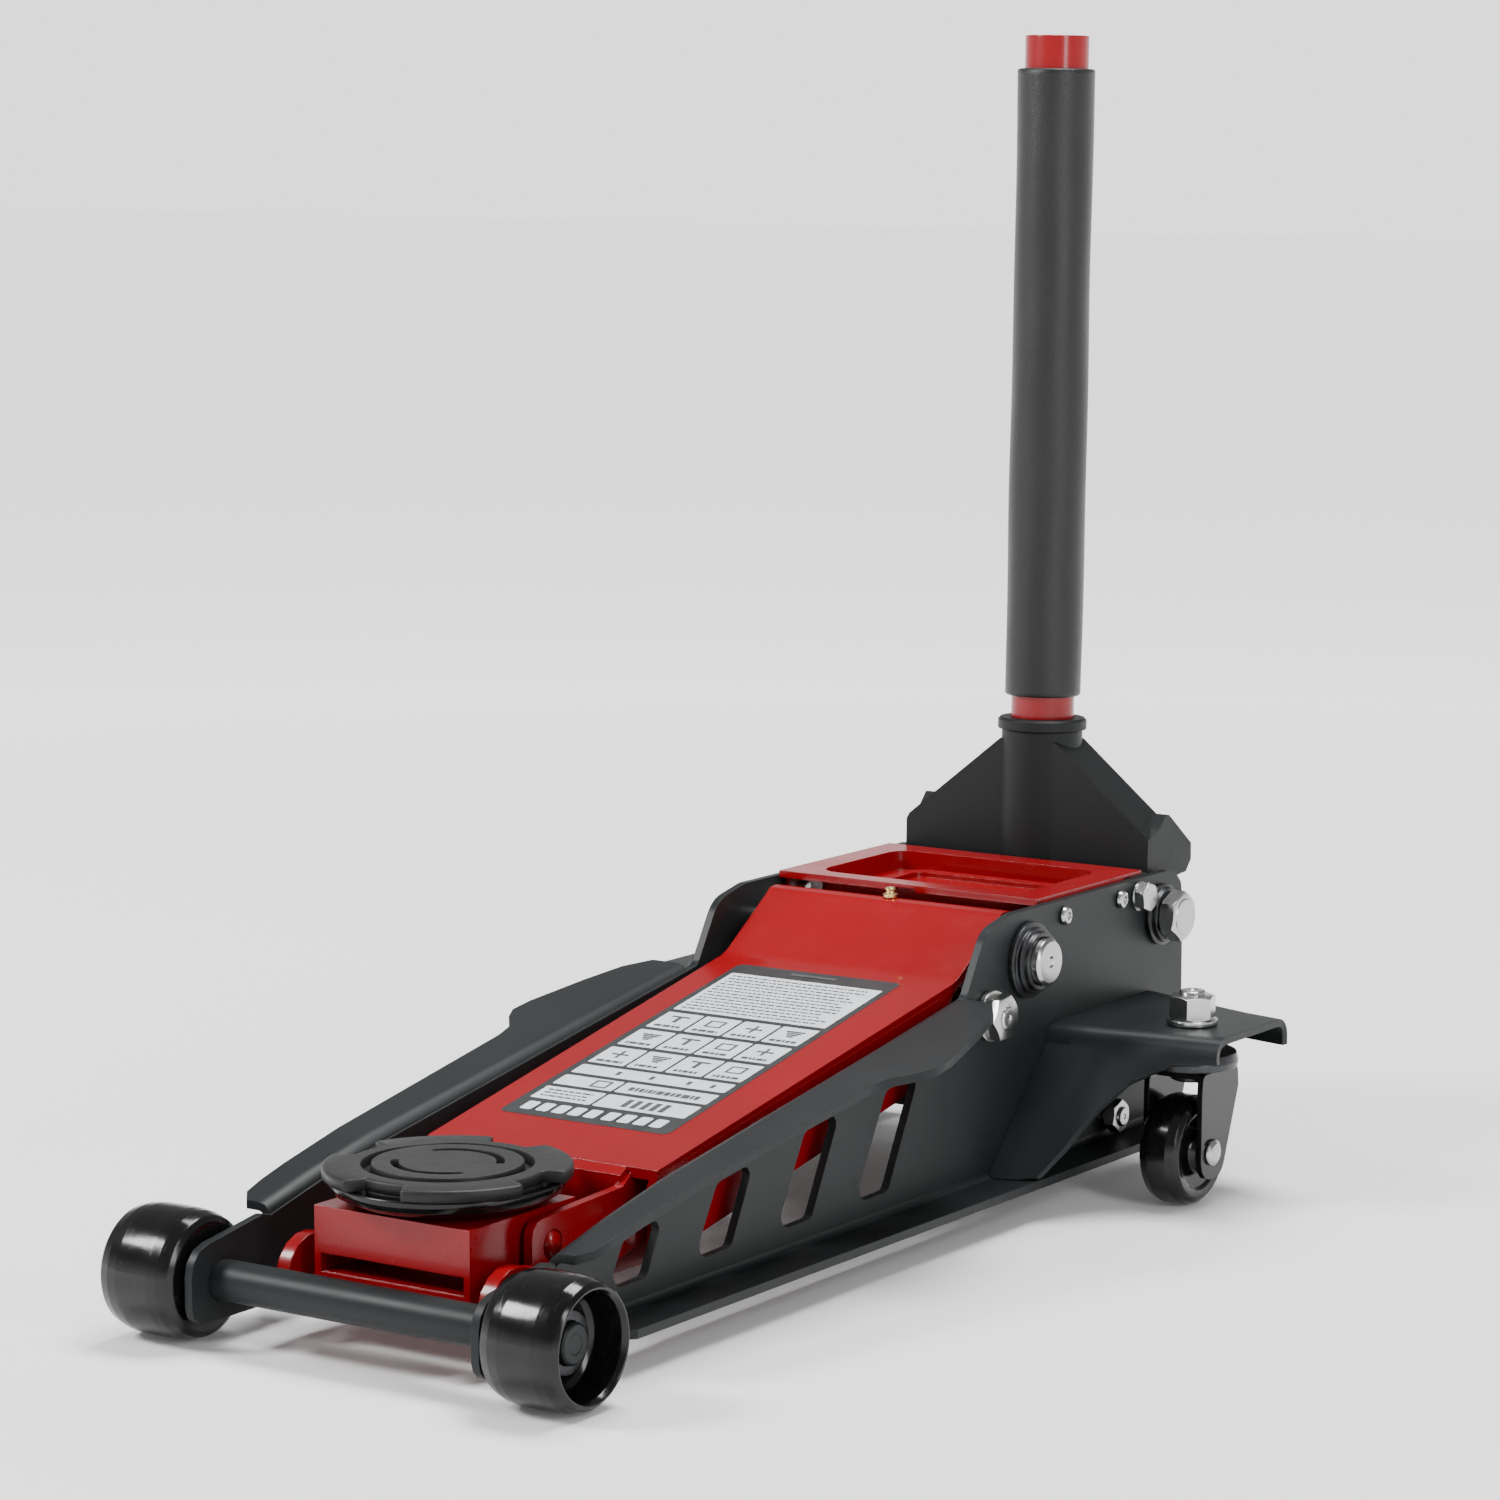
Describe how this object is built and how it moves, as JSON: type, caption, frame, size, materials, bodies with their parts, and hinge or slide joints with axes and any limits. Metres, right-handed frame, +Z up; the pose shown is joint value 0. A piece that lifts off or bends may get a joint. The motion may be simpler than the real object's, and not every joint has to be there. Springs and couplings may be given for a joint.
{
  "type": "hydraulic floor jack",
  "caption": "Low-profile trolley jack: sloping twin side plates, red box-section lifting arm, level round saddle, rear casters and an upright tubular handle in a cast yoke",
  "frame": {"origin": "on the floor under the middle of the bounding box, handle upright and arm down", "axes": "+X towards the saddle and front wheels, +Y to the jack's left side plate, +Z up"},
  "size_m": [0.7476, 0.406, 0.6804],
  "materials": {
    "chassis_paint": "satin blue-grey powder coat",
    "red_paint": "gloss red paint",
    "zinc": "bright zinc plate",
    "brass": "machined brass",
    "black_steel": "black oxide steel",
    "gloss_black": "gloss black paint",
    "wheel_black": "gloss black cast steel wheel",
    "rubber": "moulded black rubber",
    "foam": "black closed-cell foam",
    "spring_steel": "drawn spring wire"
  },
  "bodies": {
    "chassis": {"side_plate_left": "chassis_paint", "side_plate_right": "chassis_paint", "front_axle": "chassis_paint", "wheel_clip_left": "black_steel", "wheel_clip_right": "black_steel", "arm_pivot_shaft": "zinc", "pivot_collar_left": "black_steel", "pivot_collar_right": "black_steel", "link_pivot_bolt_left": "zinc", "link_pivot_bolt_right": "zinc", "yoke_pivot_bolt_left": "zinc", "yoke_pivot_bolt_right": "zinc", "yoke_pivot_washer_left": "black_steel", "yoke_pivot_washer_right": "black_steel", "stay_bolt_left": "zinc", "stay_bolt_right": "zinc", "unit_mounting_bolt": "zinc", "tray_cover": "red_paint", "tray_screw_front_left": "zinc", "tray_screw_front_right": "zinc", "tray_screw_rear_left": "zinc", "tray_screw_rear_right": "zinc", "caster_bracket_left": "chassis_paint", "caster_bracket_right": "chassis_paint", "caster_kingpin_left": "zinc", "caster_kingpin_right": "zinc", "caster_race_left": "black_steel", "caster_race_right": "black_steel", "pump_block": "chassis_paint", "ram_cylinder": "chassis_paint", "oil_reservoir": "chassis_paint", "filler_plug": "rubber", "plunger_spring": "spring_steel"},
    "lift_arm_body": {"lift_arm": "red_paint", "arm_front_pin": "red_paint", "crank_pin": "zinc", "crank_roller": "black_steel", "grease_fitting": "brass"},
    "saddle_bracket_body": {"saddle_bracket": "red_paint", "link_front_pin": "red_paint"},
    "saddle_body": {"saddle_cup": "gloss_black", "saddle_pad": "rubber"},
    "left_link_body": {"torque_link_left": "red_paint"},
    "right_link_body": {"torque_link_right": "red_paint"},
    "ram_body": {"ram": "zinc"},
    "yoke_body": {"handle_yoke": "chassis_paint", "yoke_roller_pin": "zinc", "yoke_roller": "black_steel"},
    "handle_body": {"handle_tube": "red_paint", "foam_sleeve": "foam"},
    "release_valve_body": {"release_valve": "zinc"},
    "plunger_body": {"pump_plunger": "zinc"},
    "front_wheel_left_body": {"front_wheel_left": "wheel_black"},
    "caster_fork_left_body": {"caster_fork_left": "gloss_black", "caster_axle_left": "zinc"},
    "caster_wheel_left_body": {"caster_wheel_left": "wheel_black"},
    "front_wheel_right_body": {"front_wheel_right": "wheel_black"},
    "caster_fork_right_body": {"caster_fork_right": "gloss_black", "caster_axle_right": "zinc"},
    "caster_wheel_right_body": {"caster_wheel_right": "wheel_black"}
  },
  "joints": [
    {"name": "arm_lift", "type": "hinge", "parent": "chassis", "child": "lift_arm_body", "pos_m": [-0.1632, 0, 0.1465], "axis": [0, -1, 0], "range_deg": [0, 56]},
    {"name": "saddle_bracket_level", "type": "hinge", "parent": "lift_arm_body", "child": "saddle_bracket_body", "pos_m": [0.2528, 0, 0.057], "axis": [0, -1, 0], "range_deg": [-56.5, 0.5]},
    {"name": "torque_link_left_swing", "type": "hinge", "parent": "chassis", "child": "left_link_body", "pos_m": [-0.1192, 0.066, 0.1205], "axis": [0, -1, 0], "range_deg": [-0.5, 56.5]},
    {"name": "torque_link_right_swing", "type": "hinge", "parent": "chassis", "child": "right_link_body", "pos_m": [-0.1192, -0.066, 0.1205], "axis": [0, -1, 0], "range_deg": [-0.5, 56.5]},
    {"name": "ram_stroke", "type": "slide", "parent": "chassis", "child": "ram_body", "axis": [1, 0, 0], "range_m": [-0.0002, 0.0552]},
    {"name": "saddle_turn", "type": "hinge", "parent": "saddle_bracket_body", "child": "saddle_body", "pos_m": [0.2638, 0, 0.0753], "axis": [0, 0, 1], "continuous": true},
    {"name": "handle_pump", "type": "hinge", "parent": "chassis", "child": "yoke_body", "pos_m": [-0.3192, 0, 0.1505], "axis": [0, -1, 0], "range_deg": [0, 60]},
    {"name": "plunger_stroke", "type": "slide", "parent": "chassis", "child": "plunger_body", "axis": [0, 0, -1], "range_m": [-0.0002, 0.0203], "deforming": ["plunger_spring"]},
    {"name": "handle_twist", "type": "hinge", "parent": "yoke_body", "child": "handle_body", "pos_m": [-0.33699, 0, 0.19205], "axis": [-0.0262, 0, 0.9997], "range_deg": [0, 90]},
    {"name": "release_valve_turn", "type": "hinge", "parent": "chassis", "child": "release_valve_body", "pos_m": [-0.3472, 0.022, 0.082], "axis": [1, 0, 0], "range_deg": [-0.5, 90.5]},
    {"name": "front_wheel_left_roll", "type": "hinge", "parent": "chassis", "child": "front_wheel_left_body", "pos_m": [0.3388, 0.1245, 0.035], "axis": [0, 1, 0], "continuous": true},
    {"name": "caster_left_swivel", "type": "hinge", "parent": "chassis", "child": "caster_fork_left_body", "pos_m": [-0.2312, 0.168, 0.0807], "axis": [0, 0, 1], "continuous": true},
    {"name": "caster_wheel_left_roll", "type": "hinge", "parent": "caster_fork_left_body", "child": "caster_wheel_left_body", "pos_m": [-0.2212, 0.168, 0.0325], "axis": [0, 1, 0], "continuous": true},
    {"name": "front_wheel_right_roll", "type": "hinge", "parent": "chassis", "child": "front_wheel_right_body", "pos_m": [0.3388, -0.1245, 0.035], "axis": [0, 1, 0], "continuous": true},
    {"name": "caster_right_swivel", "type": "hinge", "parent": "chassis", "child": "caster_fork_right_body", "pos_m": [-0.2312, -0.168, 0.0807], "axis": [0, 0, 1], "continuous": true},
    {"name": "caster_wheel_right_roll", "type": "hinge", "parent": "caster_fork_right_body", "child": "caster_wheel_right_body", "pos_m": [-0.2212, -0.168, 0.0325], "axis": [0, 1, 0], "continuous": true}
  ],
  "couplings": [
    {"joint": "saddle_bracket_level", "follows": "arm_lift", "ratio": -1},
    {"joint": "torque_link_left_swing", "follows": "arm_lift", "ratio": 1},
    {"joint": "torque_link_right_swing", "follows": "arm_lift", "ratio": 1},
    {"joint": "ram_stroke", "follows": "arm_lift", "m_per_rad": 0.0559},
    {"joint": "plunger_stroke", "follows": "handle_pump", "m_per_rad": 0.0191},
    {"joint": "release_valve_turn", "follows": "handle_twist", "ratio": 1}
  ]
}
